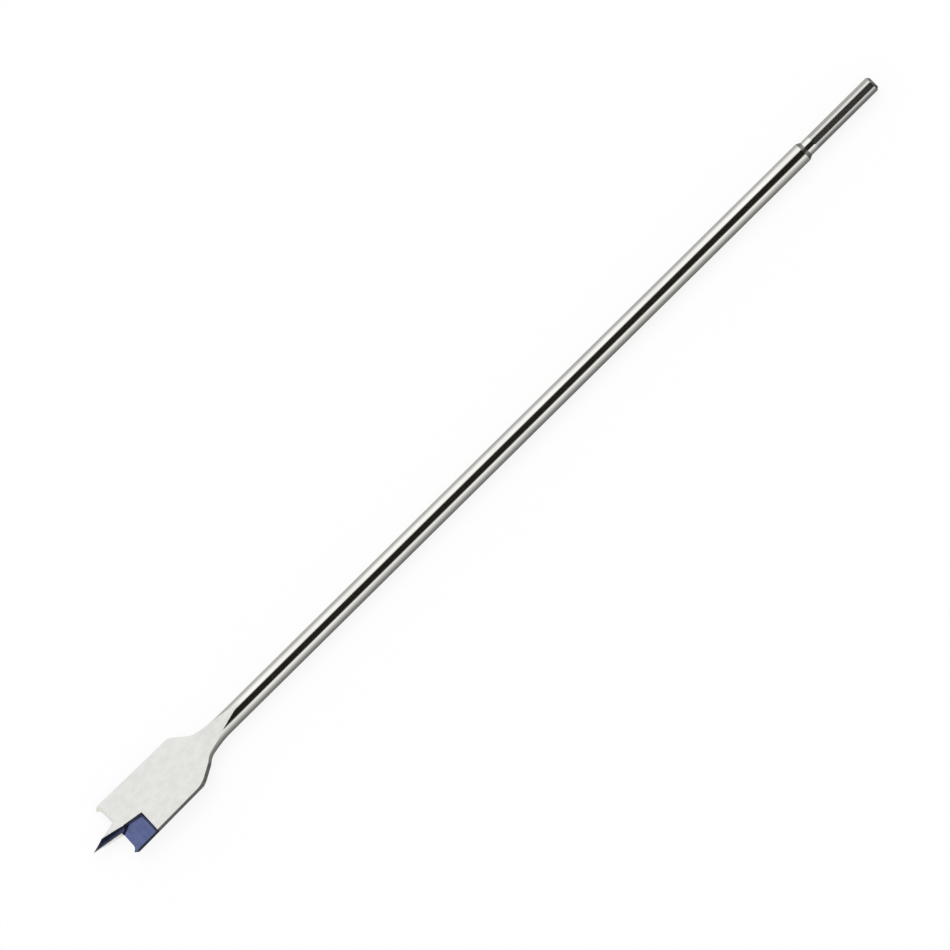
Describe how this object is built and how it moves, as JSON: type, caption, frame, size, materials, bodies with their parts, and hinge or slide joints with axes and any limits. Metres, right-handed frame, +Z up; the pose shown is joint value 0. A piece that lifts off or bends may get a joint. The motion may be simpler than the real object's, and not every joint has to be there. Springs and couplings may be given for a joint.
{
  "type": "spade drill bit",
  "caption": "Long spade drill bit for wood: flat blade with a centre point, edge spurs and ground pockets, on a round shaft with a flatted shank.",
  "frame": {"origin": "centre of the bounding box in plan, on the surface that the bit lies on", "axes": "+X along the bit's axis toward the shank, +Z up from the surface, the blade's lower edge on the +Y side"},
  "size_m": [0.4064, 0.0246, 0.008],
  "materials": {
    "steel": "polished shaft, satin ground blade, blue lacquer in the ground pockets and on the point"
  },
  "bodies": {
    "root": {"spade_bit": "steel"}
  },
  "joints": []
}
